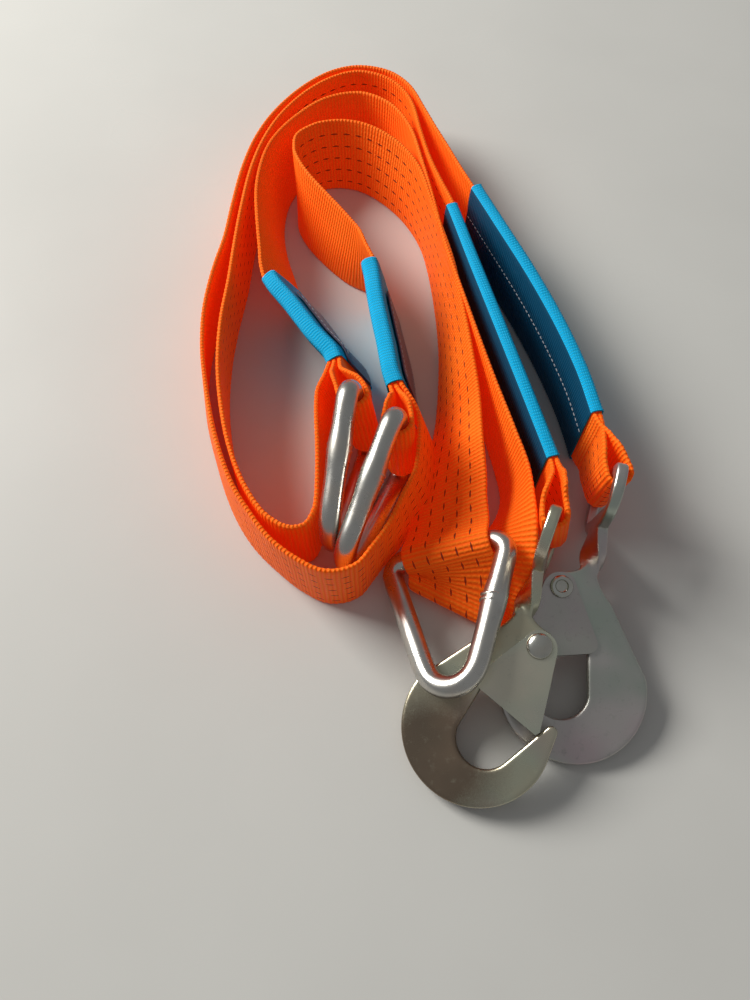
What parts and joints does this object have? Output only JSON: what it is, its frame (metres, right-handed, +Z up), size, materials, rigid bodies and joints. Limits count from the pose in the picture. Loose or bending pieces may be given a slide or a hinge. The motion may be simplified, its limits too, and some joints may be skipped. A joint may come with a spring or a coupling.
{
  "type": "winch strap",
  "caption": "Coiled webbing lifting and winching bridle with loose triangular rings, wear sleeves, blank tags and latched snap hooks on its ends.",
  "frame": {"origin": "middle of the lowest face of the bounding box, on the table the strap lies on", "axes": "+Z up, +Y from the hooks towards the far bend of the coil (the longest way), +X to the right as seen from the hooks"},
  "size_m": [0.2466, 0.4958, 0.0779],
  "materials": {
    "webbing": "ribbed orange polyester webbing with black tracer stitches",
    "sleeve": "ribbed blue webbing",
    "tag": "dark blank label cloth",
    "ring": "bright zinc plate",
    "hook": "passivated zinc plate",
    "rivet": "zinc plate"
  },
  "bodies": {
    "strap": {"webbing_strap": "webbing", "ring_eye_1": "webbing", "ring_eye_2": "webbing", "long_sleeve_a": "sleeve", "long_sleeve_b": "sleeve", "short_sleeve_1": "sleeve", "short_sleeve_2": "sleeve", "tag_1": "tag", "tag_2": "tag", "ring_1": "ring", "ring_2": "ring", "hook_a": "hook", "latch_rivet_a": "rivet"},
    "latch_a": {"latch_a": "hook", "latch_spring_a": "rivet"},
    "hook_b": {"hook_b": "hook", "latch_rivet_b": "rivet"},
    "latch_b": {"latch_b": "hook", "latch_spring_b": "rivet"},
    "ring_3": {"ring_3": "ring"}
  },
  "joints": [
    {"name": "latch_a_hinge", "type": "hinge", "parent": "strap", "child": "latch_a", "pos_m": [0.06791, -0.17365, 0.02758], "axis": [0.2029, 0.177, -0.9631], "range_deg": [0, 30], "stiffness_Nm_per_rad": 0.15, "springref_deg": -22.92},
    {"name": "hook_b_swing", "type": "hinge", "parent": "strap", "child": "hook_b", "pos_m": [0.11234, -0.0851, 0.03512], "axis": [-0.0582, -0.2031, 0.9774], "range_deg": [0, 40]},
    {"name": "latch_b_hinge", "type": "hinge", "parent": "hook_b", "child": "latch_b", "pos_m": [0.08301, -0.14024, 0.02191], "axis": [-0.0582, -0.2031, 0.9774], "range_deg": [0, 30], "stiffness_Nm_per_rad": 0.15, "springref_deg": -22.92},
    {"name": "ring_3_lift", "type": "hinge", "parent": "strap", "child": "ring_3", "pos_m": [0.02413, -0.11953, 0.02263], "axis": [-0.8788, -0.0384, -0.4756], "range_deg": [0, 25]}
  ]
}
